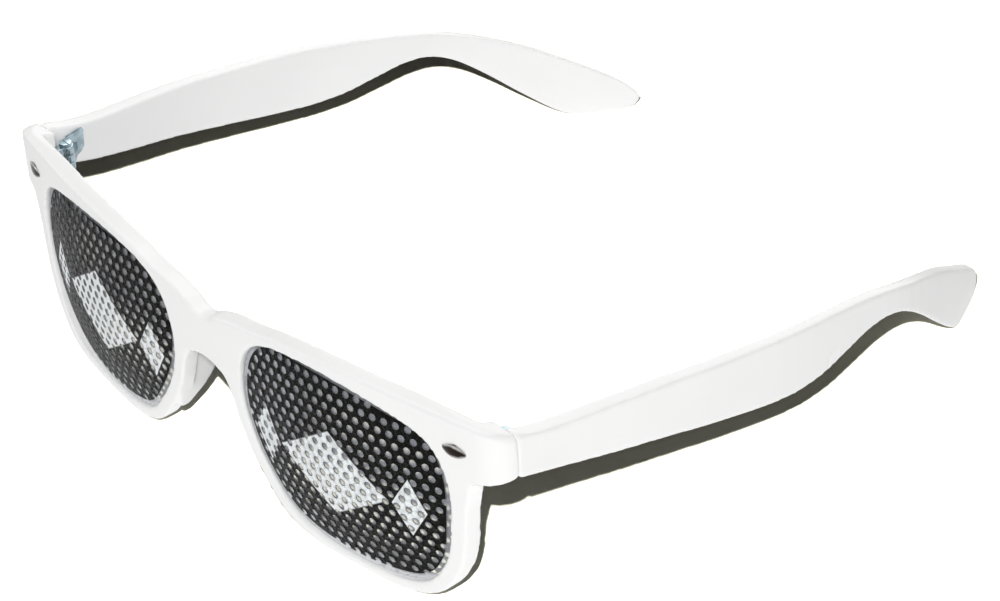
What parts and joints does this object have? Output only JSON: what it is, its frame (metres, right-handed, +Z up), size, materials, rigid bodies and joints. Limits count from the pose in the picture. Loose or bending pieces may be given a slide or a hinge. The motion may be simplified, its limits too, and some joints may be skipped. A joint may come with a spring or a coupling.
{
  "type": "novelty sunglasses",
  "caption": "Folding sunglasses with a white moulded frame, tinted lenses, a perforated black film on each lens, oval rivets and metal hinges.",
  "frame": {"origin": "centre of the footprint, on the surface that the lower rims and the temple tips stand on", "axes": "+X towards the wearer's left temple, +Y from the front back along the temples, +Z up; the lenses look along -Y"},
  "size_m": [0.148, 0.1575, 0.0444],
  "materials": {
    "frame_white": "polished white moulded plastic",
    "lens_smoke": "clear plastic with a grey tint",
    "film_black": "glossy black perforated film with a white printed figure",
    "rivet_metal": "polished metal",
    "hinge_metal": "plated metal"
  },
  "bodies": {
    "front": {"front_frame": "frame_white", "left_lens": "lens_smoke", "right_lens": "lens_smoke", "left_film": "film_black", "right_film": "film_black", "left_rivet": "rivet_metal", "right_rivet": "rivet_metal", "left_front_hinge": "hinge_metal", "right_front_hinge": "hinge_metal", "left_hinge_screw": "hinge_metal", "right_hinge_screw": "hinge_metal"},
    "left_arm": {"left_temple": "frame_white", "left_temple_hinge": "hinge_metal"},
    "right_arm": {"right_temple": "frame_white", "right_temple_hinge": "hinge_metal"}
  },
  "joints": [
    {"name": "left_temple_fold", "type": "hinge", "parent": "front", "child": "left_arm", "pos_m": [0.066, -0.06259, 0.03618], "axis": [0, -0.0519, 0.9987], "range_deg": [0, 86]},
    {"name": "right_temple_fold", "type": "hinge", "parent": "front", "child": "right_arm", "pos_m": [-0.066, -0.06259, 0.03618], "axis": [0, 0.0519, -0.9987], "range_deg": [0, 79]}
  ]
}
